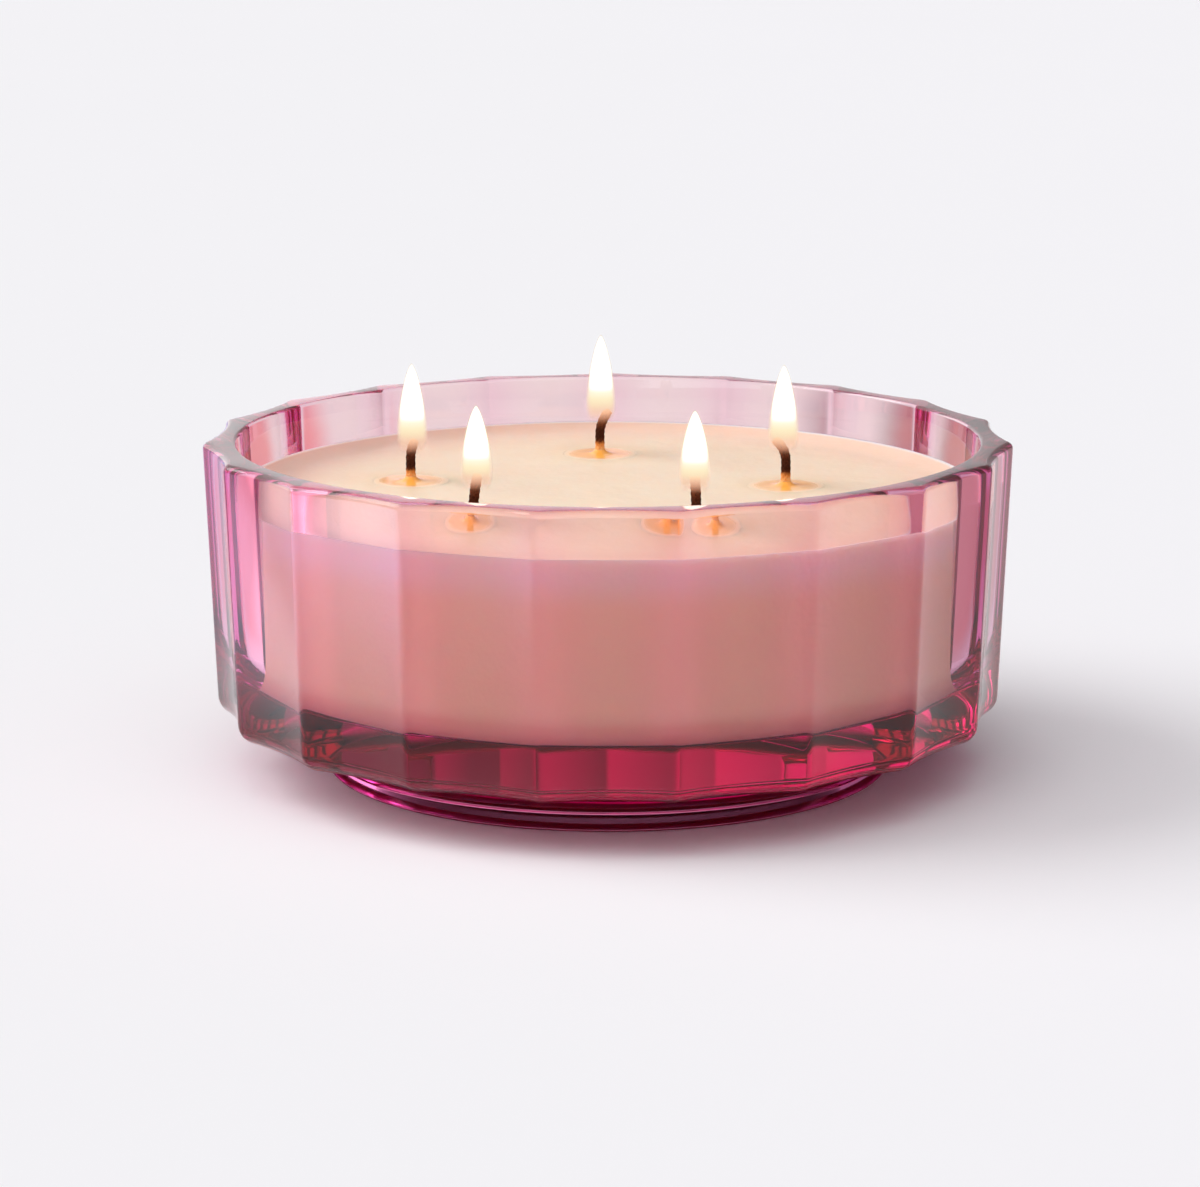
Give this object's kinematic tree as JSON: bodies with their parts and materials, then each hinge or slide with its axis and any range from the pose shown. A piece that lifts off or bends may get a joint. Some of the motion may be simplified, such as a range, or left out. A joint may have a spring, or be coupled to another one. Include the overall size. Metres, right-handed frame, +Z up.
{
  "type": "multi-wick candle",
  "caption": "Low round container candle: fluted tinted-glass bowl on a foot, filled with poured wax that holds a ring of lit cotton wicks in metal sustainers.",
  "frame": {"origin": "centre of the foot, on the plane the bowl stands on", "axes": "+Z up through the bowl's axis, -Y to the front, +X to the right seen from the front"},
  "size_m": [0.1794, 0.1787, 0.0897],
  "materials": {
    "tinted_glass": "gloss, raspberry tint that deepens in the thick base",
    "candle_wax": "satin, translucent cream wax",
    "melted_wax": "wet gloss, clear amber",
    "cotton_wick": "charred braided cotton",
    "sustainer_metal": "zinc-plated sheet",
    "wick_adhesive": "matt off-white",
    "flame": "glowing, clear at its foot"
  },
  "bodies": {
    "root": {"glass_bowl": "tinted_glass", "wax_fill": "candle_wax", "adhesive_disc_1": "wick_adhesive", "adhesive_disc_2": "wick_adhesive", "adhesive_disc_3": "wick_adhesive", "adhesive_disc_4": "wick_adhesive", "adhesive_disc_5": "wick_adhesive", "sustainer_1": "sustainer_metal", "sustainer_2": "sustainer_metal", "sustainer_3": "sustainer_metal", "sustainer_4": "sustainer_metal", "sustainer_5": "sustainer_metal", "wick_1": "cotton_wick", "wick_2": "cotton_wick", "wick_3": "cotton_wick", "wick_4": "cotton_wick", "wick_5": "cotton_wick", "melt_pool_1": "melted_wax", "melt_pool_2": "melted_wax", "melt_pool_3": "melted_wax", "melt_pool_4": "melted_wax", "melt_pool_5": "melted_wax", "flame_1": "flame", "flame_2": "flame", "flame_3": "flame", "flame_4": "flame", "flame_5": "flame"}
  },
  "joints": []
}
